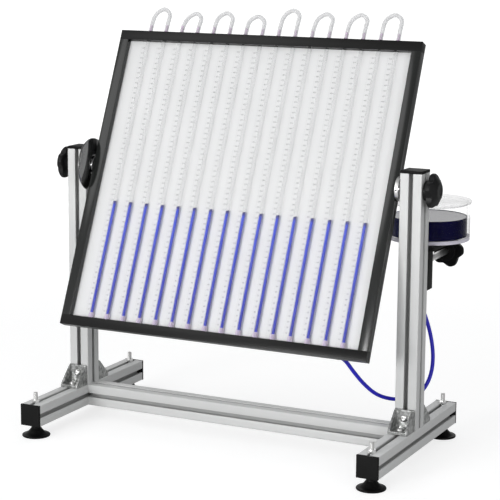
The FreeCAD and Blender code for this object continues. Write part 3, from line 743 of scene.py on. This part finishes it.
# Places on the panel are from its pivot, as if it stood upright.
TUBE_COUNT = 16
TUBE_PITCH = 33.5
TUBE_FIRST = -246.0
TUBE_PLANE = -3.0
TUBE_RADIUS, TUBE_BORE = 4.0, 2.8
COLUMN_RADIUS = 2.7
BUSH_RADIUS, BUSH_ABOVE, BUSH_BELOW = 4.9, 10.0, 4.9
NOZZLE_RADIUS, NOZZLE_BORE, NOZZLE_ABOVE, NOZZLE_BELOW = 2.5, 1.5, 16.0, 9.0
HEADER_TOP = -290.5
PANEL_TOP = 266.5
TUBE_FOOT = HEADER_TOP - 8 + 0.1      # in its pocket in the header
TUBE_HEAD = PANEL_TOP - 2
SHEET_FACE = 2.0
TUBE_STEP = (TUBE_PITCH * MM, 0, 0)


def in_tube_row(piece, finish, slot, *nodes, sharp=35.0):
    """Repeats a piece of the first tube for all the tubes."""
    grown(piece, ROW, count=TUBE_COUNT, step=TUBE_STEP, finish=finish)
    return dressed(recleaned(piece, sharp), finish, "panel", slot, *nodes)


def turned_in_row(name, outline, height, sides, finish, slot, node):
    axis = panel_to_part @ Matrix.Translation((TUBE_FIRST, TUBE_PLANE, height))
    in_tube_row(turned(name, outline, Matrix(), axis, sides), finish, slot, node)


def make_panel_frame():
    dress_nodes(0.5, black_rail, "panel", "black_frame", "panel_top_rail", "panel_lower_header")
    dress_nodes(0.5, black_side, "panel", "black_frame", "panel_side_left", "panel_side_right")
    repaint(white_sheet, "back_sheet")
    repaint(black_rail, "panel_corner_screws", "header_plugs")
    repaint(zinc, "panel_stud_left", "panel_stud_right")


def make_tubes():
    length = TUBE_HEAD - TUBE_FOOT
    wall = rounded([(TUBE_BORE, 0), (TUBE_RADIUS, 0), (TUBE_RADIUS, length), (TUBE_BORE, length)], 0.3, 2)
    turned_in_row("clear_tubes", wall, TUBE_FOOT, 28, tube_clear, "clear_tube", "measuring_tubes")

    hole = TUBE_RADIUS + 0.05
    bush = rounded([(hole, -BUSH_BELOW), (BUSH_RADIUS, -BUSH_BELOW), (BUSH_RADIUS, BUSH_ABOVE - 1.5),
                    (hole + 0.15, BUSH_ABOVE), (hole, BUSH_ABOVE)], 0.4, 3)
    turned_in_row("moulded_bushes", bush, HEADER_TOP, 32, bush_tint, "bush_plastic", "tube_bushes")

    flange = 1.5
    nozzle = [(NOZZLE_BORE, -NOZZLE_BELOW), (NOZZLE_RADIUS, -NOZZLE_BELOW), (NOZZLE_RADIUS, 0),
              (TUBE_RADIUS, 0), (TUBE_RADIUS, flange), (NOZZLE_RADIUS, flange)]
    for barb in (0, 3.6, 7.2):
        nozzle += [(NOZZLE_RADIUS, 5 + barb), (NOZZLE_RADIUS + 0.06, 5.4 + barb),
                   (NOZZLE_RADIUS - 0.2, 8.2 + barb)]
    nozzle += [(NOZZLE_RADIUS - 0.4, NOZZLE_ABOVE), (NOZZLE_BORE, NOZZLE_ABOVE)]
    turned_in_row("moulded_nozzles", nozzle, TUBE_HEAD, 24, nozzle_tint, "bush_plastic", "tube_nozzles")


def make_columns():
    """Liquid in one tube, its top cut level, then copied to the others."""
    sides, rows = 24, 12
    lean = math.radians(LEAN)
    points, faces = [], []
    for row in range(rows + 1):
        for side in range(sides):
            angle = 2 * math.pi * side / sides
            x, y = COLUMN_RADIUS * math.cos(angle), TUBE_PLANE + COLUMN_RADIUS * math.sin(angle)
            top = (LIQUID_LEVEL - PIVOT_HEIGHT + y * math.sin(lean)) / math.cos(lean)
            points.append((TUBE_FIRST + x, y, TUBE_FOOT + (top - TUBE_FOOT) * row / rows))
    for row in range(rows):
        for side in range(sides):
            after = (side + 1) % sides
            a, b = row * sides, (row + 1) * sides
            faces.append([a + side, a + after, b + after, b + side])
    faces.append(list(range(sides)))
    faces.append([rows * sides + side for side in range(sides)])
    in_tube_row(mesh_piece("blue_columns", points, faces, panel_to_part), column_blue, "blue_liquid",
                "liquid_columns", sharp=50)


def make_scales():
    """Plain millimetre rulers printed beside the tubes."""
    left, low, high = TUBE_FIRST - 17.5, -284.0, 240.0
    fine, coarse = 2, 10      # from mark to mark
    proud = 0.05
    up_step = panel_to_part.to_3x3() @ Vector((0, 0, 1))

    def bar(name, x, width, z, thick):
        corners = [(x + dx * width, SHEET_FACE - proud * dy, z + thick * dz)
                   for dx in (0, 1) for dy in (0, 1) for dz in (0, 1)]
        quads = [(0, 1, 3, 2), (4, 6, 7, 5), (0, 4, 5, 1), (2, 3, 7, 6), (0, 2, 6, 4), (1, 5, 7, 3)]
        return mesh_piece(name, corners, quads, panel_to_part)

    coarse_count = int((high - low) / coarse)
    short = bar("short_marks", left + 1.6, 1.2, low, 0.22)
    grown(short, ROW, count=int((high - low) / fine), step=tuple(up_step * fine), finish=scale_ink)
    long = bar("long_marks", left + 0.8, 2.4, low, 0.3)
    grown(long, ROW, count=coarse_count + 1, step=tuple(up_step * coarse), finish=scale_ink)
    in_tube_row(joined("scale_marks", [short, long]), scale_ink, "white_sheet")

    size = 4.3
    text = bpy.data.curves.new("scale_numbers", "FONT")
    text.size = size
    text.space_line = coarse / size
    text.resolution_u = 1
    text.extrude = proud / 2
    text.body = "\n".join(str(coarse * (coarse_count - i)) for i in range(coarse_count))
    holder = placed("scale_numbers", text)
    data = plain_mesh(holder)
    bpy.data.objects.remove(holder)
    top = low + coarse * coarse_count
    upright = Matrix.Translation((left + 4.2, SHEET_FACE - proud / 2, top - size * 0.35))
    data.transform(panel_to_part @ upright @ Matrix.Rotation(math.radians(90), 4, "X"))
    data.materials.clear()
    in_tube_row(placed("scale_numbers", data), number_ink, "white_sheet")


# How far each hose loop rises above the panel and leans to the right
LOOP_RISE = (49.0, 42.5, 45.5, 41.0, 55.0, 50.0, 50.5, 52.5)
LOOP_SWAY = (4.0, 7.0, 3.5, 2.0, 4.5, 5.0, 5.5, 3.0)
LOOP_RADIUS, LOOP_WALL = 4.0, 1.4
LOOP_LEG, LOOP_SHOULDER = 24, 8       # their heights below the crown
LOOP_CROWN = 8                        # width of the crown


def loop_route(index):
    left = TUBE_FIRST + TUBE_PITCH * 2 * index
    right = left + TUBE_PITCH
    base = PANEL_TOP + 1.5
    crown = PANEL_TOP + LOOP_RISE[index] - LOOP_RADIUS
    leg, shoulder = crown - LOOP_LEG, crown - LOOP_SHOULDER
    sway = LOOP_SWAY[index]
    middle = (left + right) / 2 + sway
    across_up = [(left, base), (left, leg), (left + sway, shoulder), (middle - LOOP_CROWN / 2, crown + 1),
                 (middle + LOOP_CROWN / 2, crown + 1), (right + sway / 2, shoulder), (right, leg),
                 (right, base)]
    return [(x, TUBE_PLANE, z) for x, z in across_up]


def make_loops():
    routes = [loop_route(i) for i in range(TUBE_COUNT // 2)]
    loops = placed("clear_loops", route_line("loop_routes", routes, panel_to_part))
    grown(loops, TUBE, radius=LOOP_RADIUS * MM, sides=24, closed_ends=False, finish=loop_clear)
    wall = loops.modifiers.new("wall", "SOLIDIFY")
    wall.thickness, wall.offset = LOOP_WALL * MM, -1
    data = plain_mesh(loops)
    bpy.data.objects.remove(loops)
    dressed(as_object("clear_loops", data, 50), loop_clear, "panel", "clear_hose", "hose_loops")


def make_pivots():
    """Domed disc on the left, its boss against the upright; collar and washer on the right."""
    bore, near, far = 4.08, FACE_GAP, 9.85
    dome = [(48.8 - 29.3 * t, 7.0 - 4.1 * (1 - t) ** 1.7) for t in (i / 14 for i in range(15))]
    back = [(bore, near), (22, near), (24, near + 1.5), (45, near + 1.5), (46.5, near), (49.4, near),
            (50, near + 0.6), (50, 2.0)]
    hub = [(17.5, 4.0), (15, 4.0), (14, far - 1), (12.8, far), (bore, far)]
    axis = pointing((HALF_PROFILE - HALF_SPACING, 0, PIVOT_HEIGHT), (1, 0, 0))
    disc = turned("friction_disc", rounded(back + dome + hub, 0.7), axis, to_part, 144)
    dressed(disc, black_disc, "panel", "disc_plastic", "pivot_disc_left")
    dress_nodes(0.3, collar_steel, "panel", "bolt_steel", "pivot_hub_right")
    dress_nodes(0.25, black_disc, "panel", "disc_plastic", "pivot_washer_right")


# ---------------------------------------------------------------- star knobs

KNOB_RADIUS = 31.0
KNOB_VALLEY = 24.0
KNOB_WAIST = 15.5
LOBES = 5
TANK_KNOB = (HALF_SPACING, 162.3, 351.7)
TANK_KNOB_SPIN = 69                           # degrees
ROD_LOW, ROD_HIGH, ROD_THREAD = 5.35, 178.15, 168     # the clamp rod's ends and its thread's start


def lobe_outline(angle):
    """Radius of the grip's outline: full at each lobe, hollow between them."""
    away = (angle * LOBES / (2 * math.pi)) % 1
    hollow = abs(away - 0.5) * 2
    swell = hollow ** 0.9
    ease = swell * swell * (3 - 2 * swell)
    return KNOB_VALLEY + (KNOB_RADIUS - KNOB_VALLEY) * min(1, ease * 1.08)


def star_grip(name, at, along, spin):
    """Five-lobed grip; its outline swells smoothly from the neck to the lobes and the face."""
    neck = 9
    outline = rounded([(STUD_HOLE, 16), (0, 16), (0, 25.4), (6.8, 25.4), (7.6, 26), (14, 26), (17, 24.6),
                       (27.5, 18.6), (KNOB_RADIUS, 16), (KNOB_RADIUS, 11), (29, neck), (KNOB_WAIST, neck),
                       (18, 0), (STUD_HOLE, 0)], 1.6, 5)
    blend = 1.3               # width over which the outline's edge is softened

    def lobed(r, h, angle):
        if r < KNOB_WAIST - 0.1 or (h < neck - 0.1 and r < 19):
            return r
        edge = lobe_outline(angle)
        close = max(0.0, blend - abs(r - edge)) / blend
        return min(r, edge) - close * close * blend / 4

    axis = pointing(at, along) @ Matrix.Rotation(math.radians(spin), 4, "Z")
    return turned(name, outline, axis, to_part, 180, lobed, 40)


def make_knobs():
    """The panel's two star knobs, and the tank's with its clamp rod."""
    seat = HALF_SPACING + HALF_PROFILE + FACE_GAP
    for way, side, spin in ((-1, "left", 0), (1, "right", 180)):
        knob = star_grip("star_grip_" + side, (way * seat, 0, PIVOT_HEIGHT), (way, 0, 0), spin)
        dressed(knob, black_knob, f"panel_knob_{side}_body", "black_plastic", "panel_knob_" + side)
    knob = star_grip("star_grip_tank", TANK_KNOB, (0, 1, 0), TANK_KNOB_SPIN)
    dressed(knob, black_block, "tank_clamp", "black_plastic", "tank_knob")
    axis = to_part @ pointing((TANK_KNOB[0], 0, TANK_KNOB[2]), (0, 1, 0))
    rod = threaded_rod("clamp_rod", ROD_LOW, ROD_HIGH, ROD_THREAD, axis)
    dressed(rod, zinc, "tank_clamp", "bolt_steel", "clamp_stud")


# ---------------------------------------------------------------- tank

TANK_AXIS = (326.0, 98.0)
TANK_BASE, TANK_RIM = 385.7, 451.5
TANK_RADIUS, TANK_BORE = 73, 68
LID_RADIUS, LID_LOW, LID_SEAT, LID_TOP = 75, 448.5, 451.65, 455.95
LIQUID_GAP = 0.1


def turned_on_tank(name, outline, finish, slot, *nodes):
    spot = to_part @ Matrix.Translation((*TANK_AXIS, 0))
    dressed(turned(name, outline, Matrix(), spot, 144), finish, "tank_carrier", slot, *nodes)


def make_tank():
    """Tank, lid and liquid, whose surface creeps up the wall and is a glossy sheet of its own."""
    cup = rounded([(0, TANK_BASE), (TANK_RADIUS, TANK_BASE), (TANK_RADIUS, TANK_RIM), (TANK_BORE, TANK_RIM),
                   (TANK_BORE, TANK_FLOOR), (0, TANK_FLOOR)], 0.8)
    turned_on_tank("tank_cup", cup, tank_clear, "clear_acrylic", "tank_body")
    step = TANK_BORE - 0.5
    lid = rounded([(0, LID_LOW), (step, LID_LOW), (step, LID_SEAT), (LID_RADIUS, LID_SEAT),
                   (LID_RADIUS, LID_TOP), (0, LID_TOP)], 0.7)
    turned_on_tank("tank_cover", lid, lid_clear, "clear_acrylic", "tank_lid")
    low, wet = TANK_FLOOR + LIQUID_GAP, TANK_BORE - LIQUID_GAP
    pool = [(0, low), (wet, low), (wet, LIQUID_LEVEL), (67.2, LIQUID_LEVEL - 0.5),
            (65.5, LIQUID_LEVEL - 0.9), (60, LIQUID_LEVEL - 1), (0, LIQUID_LEVEL - 1)]
    turned_on_tank("tank_pool", pool, tank_blue, "blue_liquid", "tank_liquid")
    skin = [(0, LIQUID_LEVEL - 0.98), (60, LIQUID_LEVEL - 0.98), (65.4, LIQUID_LEVEL - 0.88),
            (65.4, LIQUID_LEVEL - 0.78), (60, LIQUID_LEVEL - 0.86), (0, LIQUID_LEVEL - 0.86)]
    turned_on_tank("tank_liquid_skin", skin, tank_surface, "blue_liquid")


def make_carriage():
    """Carriage, shelf and clamp of the tank, and the hose's two fittings."""
    dress_nodes(0.5, black_block, "tank_carrier", "black_frame", "tank_carriage", "tank_shelf")
    dress_nodes(0.4, zinc, "tank_carrier", "bolt_steel", "clamp_sleeve")
    dress_nodes(0.3, zinc, "tank_carrier", "bolt_steel", "clamp_washer")
    dress_nodes(0.3, nickel, "tank_carrier", "brass_fitting", "tank_outlet")
    dress_nodes(0.3, nickel, "panel", "brass_fitting", "panel_port")
    repaint(zinc, "carriage_slot_nut", "shelf_screws", "tank_screws")


# ---------------------------------------------------------------- liquid hose

HOSE_ROUTE = [(290, 98, 368), (290, 98, 334), (300, 96, 296), (323, 91, 255), (341, 84, 213),
              (350, 76, 172), (349, 64, 138), (337, 50, 112), (312, 38, 101), (291, 14, 105),
              (276, -15, 119), (264, -42, 143), (254, -66, 170), (245.5, -82.0, 192.93),
              (245.5, -100.27, 201.06)]
HOSE_RADIUS = 3.5
HOSE_SEAM_HEIGHT = 150.0      # where its two lengths meet, at the foot of the upright


def line_length(points):
    return sum((b - a).length for a, b in zip(points, points[1:]))


def make_hose():
    """Limp hose from tank to panel, in two lengths that meet on its way down."""
    data = route_line("hose_route", [HOSE_ROUTE])
    points = [v.co.copy() for v in data.vertices]
    bpy.data.meshes.remove(data)
    seam = next(i for i, p in enumerate(points) if p.z < HOSE_SEAM_HEIGHT * MM)
    upper, lower = points[:seam + 1], points[seam:]
    for name, part, bodies in (("hose_upper", upper, ("tank_carrier", "stand")),
                               ("hose_lower", lower, ("stand", "panel"))):
        hose = line_object(name, part)
        grown(hose, TUBE, radius=HOSE_RADIUS * MM, sides=28, closed_ends=True, finish=hose_blue)
        hose = dressed(recleaned(hose, 60), hose_blue, None, "blue_hose", "liquid_hose")
        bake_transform(hose)
        line_length(part)


# ---------------------------------------------------------------- floor and room

def shaded_corner(f, output, low, high):
    """1 in the rear right of the room, which reflections see as unlit."""
    where = f.node("ShaderNodeTexCoord", output=output)
    across = f.node("ShaderNodeSeparateXYZ", sockets={0: where}, output="X")
    back = f.node("ShaderNodeSeparateXYZ", sockets={0: where}, output="Y")
    return across.between(low, high) * back.between(low, high)


def seen_rays(f):
    """1 for all the rays that show the room to the eye, and 1 for the reflected ones alone."""
    camera, glossy, through = (f.node("ShaderNodeLightPath", output="Is %s Ray" % kind)
                               for kind in ("Camera", "Glossy", "Transmission"))
    return camera.math("MAXIMUM", glossy).math("MAXIMUM", through), glossy


def make_world():
    """White to the eye, darker overhead in reflections, and a plain even light on the part."""
    bpy.context.scene.view_settings.view_transform = "Standard"
    world = bpy.data.worlds.new("studio")
    bpy.context.scene.world = world
    world.use_nodes = True
    room = Finish("studio", world.node_tree)
    seen, glossy = seen_rays(room)
    way = room.node("ShaderNodeTexCoord", output="Generated")
    overhead = room.node("ShaderNodeSeparateXYZ", sockets={0: way}, output="Z").between(0.0, 0.7)
    backdrop = room.mix(overhead, (1, 1, 1), (0.4, 0.4, 0.4))
    dark = glossy * shaded_corner(room, "Generated", 0.05, 0.4) * 0.7
    shown = room.node("ShaderNodeBackground", sockets={"Color": backdrop, "Strength": 1 - dark})
    light = room.node("ShaderNodeBackground", sockets={"Color": (0.98, 0.99, 1.0), "Strength": 0.5})
    both = room.node("ShaderNodeMixShader", sockets={0: seen, 1: light, 2: shown})
    room.node("ShaderNodeOutputWorld", sockets={"Surface": both})


def make_floor():
    """Pale floor that fades into the backdrop and keeps a faint shadow of the part."""
    wide = 60.0
    data = bpy.data.meshes.new("studio_floor")
    data.from_pydata([(-wide, -wide, 0), (wide, -wide, 0), (wide, wide, 0), (-wide, wide, 0)], [],
                     [(0, 1, 2, 3)])
    f = Finish("studio_floor")
    seen, glossy = seen_rays(f)
    away = f.node("ShaderNodeVectorMath", {"operation": "LENGTH"}, {0: f.place()}, output="Value")
    dim = glossy * (0.6 + shaded_corner(f, "Object", 0.3, 1.2) * 0.3)
    strength = (seen - dim) * (0.7 + away.between(0.9, 4.0) * 0.25)
    paper = f.node("ShaderNodeBsdfDiffuse", sockets={"Color": (0.42, 0.42, 0.42)})
    glow = f.node("ShaderNodeEmission", sockets={"Color": (1, 1, 1), "Strength": strength})
    both = f.node("ShaderNodeAddShader", sockets={0: paper, 1: glow})
    f.node("ShaderNodeOutputMaterial", sockets={"Surface": both})
    data.materials.append(f.material)
    placed("studio_floor", data)


make_camera()
make_hose()
make_stand()
make_feet()
make_panel_frame()
make_tubes()
make_columns()
make_scales()
make_loops()
make_pivots()
make_knobs()
make_tank()
make_carriage()
make_world()
make_floor()
for lamp in LAMPS:
    soft_lamp(*lamp)

bpy.context.view_layer.update()
